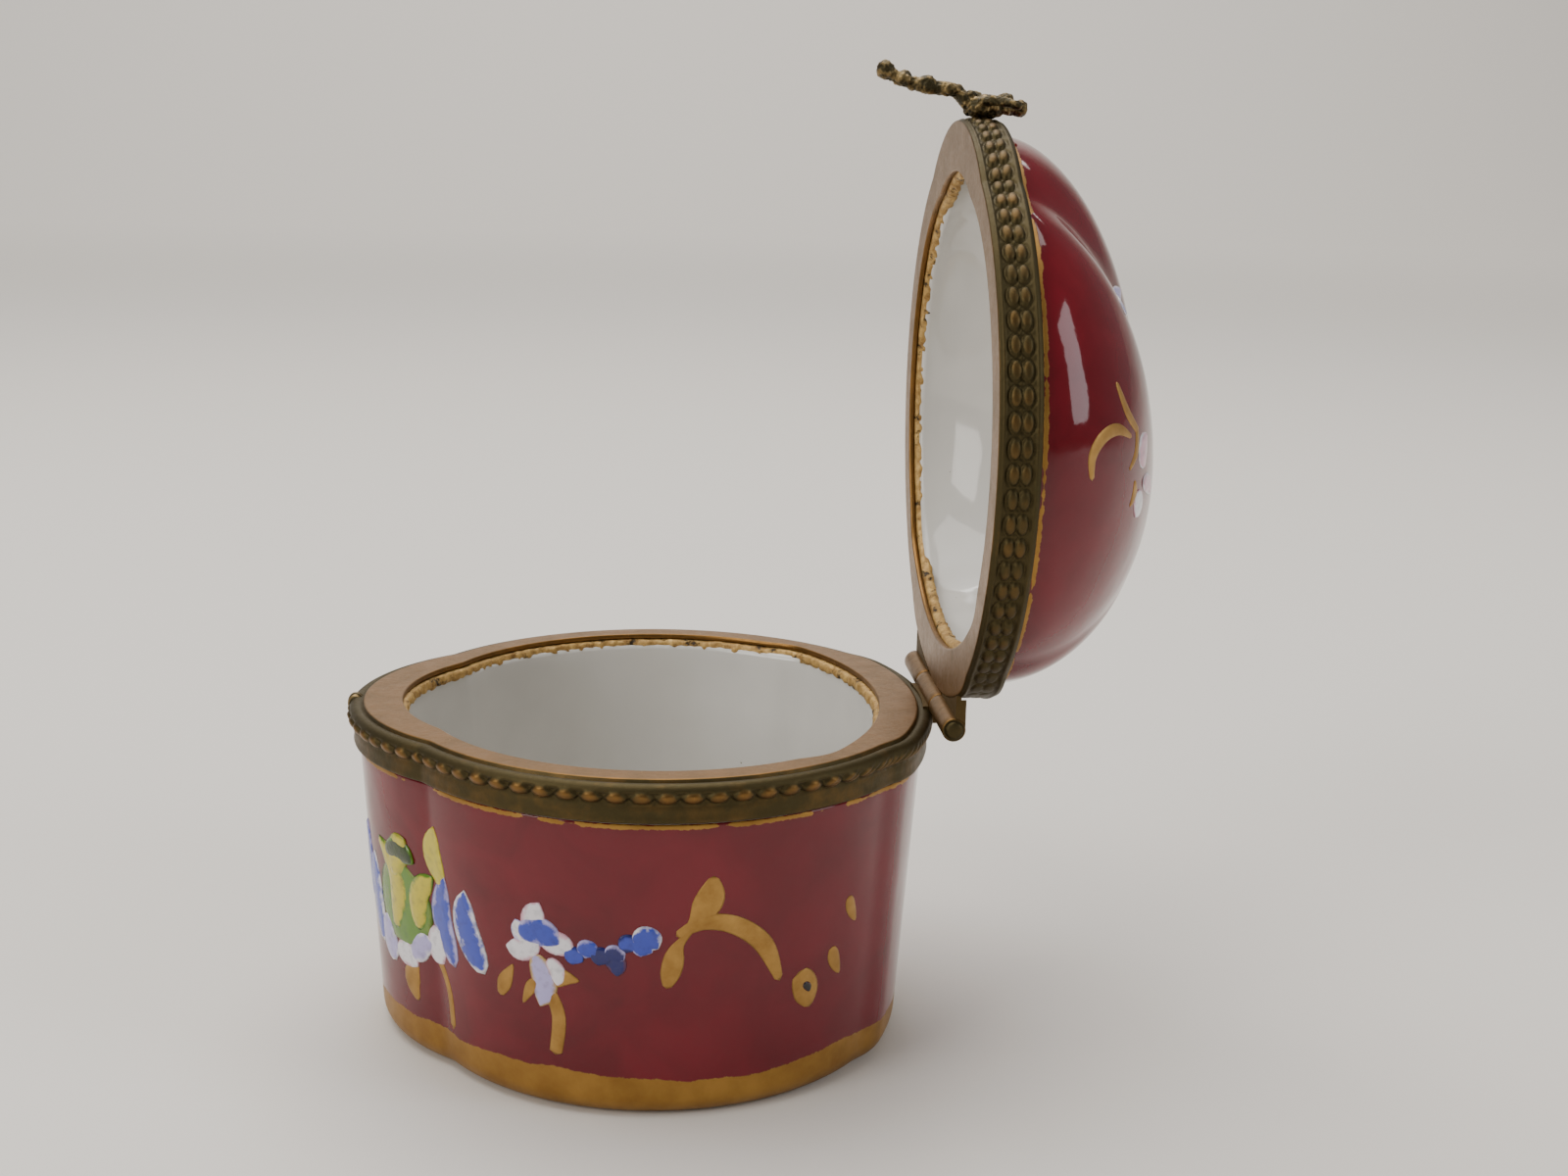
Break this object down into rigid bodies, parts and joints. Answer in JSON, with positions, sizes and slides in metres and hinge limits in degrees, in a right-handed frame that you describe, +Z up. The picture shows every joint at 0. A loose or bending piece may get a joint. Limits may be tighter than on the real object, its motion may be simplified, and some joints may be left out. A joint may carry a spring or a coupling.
{
  "type": "trinket box",
  "caption": "Small lobed porcelain trinket box with a domed lid hinged at the back, brass mounts and a snap clasp at the front.",
  "frame": {"origin": "centre of the flat underside of the foot, on the surface that the box stands on", "axes": "+Z up; -X is the front with the clasp; +X is the back with the hinge, whose axis runs along Y"},
  "size_m": [0.0724, 0.0536, 0.0879],
  "materials": {
    "glazed_porcelain": "gloss glaze",
    "gilded_cement": "matte gilded",
    "brass": "aged"
  },
  "bodies": {
    "base": {"base_cup": "glazed_porcelain", "base_cement": "gilded_cement", "base_bezel": "brass", "hinge_knuckle_middle": "brass", "hinge_seat_cup": "brass", "catch_knob": "brass"},
    "lid": {"lid_shell": "glazed_porcelain", "lid_cement": "gilded_cement", "lid_bezel": "brass", "hinge_knuckle_near": "brass", "hinge_knuckle_far": "brass", "hinge_pin": "brass", "hinge_seat_near": "brass", "hinge_seat_far": "brass", "clasp_sprig": "brass", "clasp_lug": "brass"}
  },
  "joints": [
    {"name": "lid_hinge", "type": "hinge", "parent": "base", "child": "lid", "pos_m": [0.0271, 0, 0.0303], "axis": [0, -1, 0], "range_deg": [0, 90]}
  ]
}
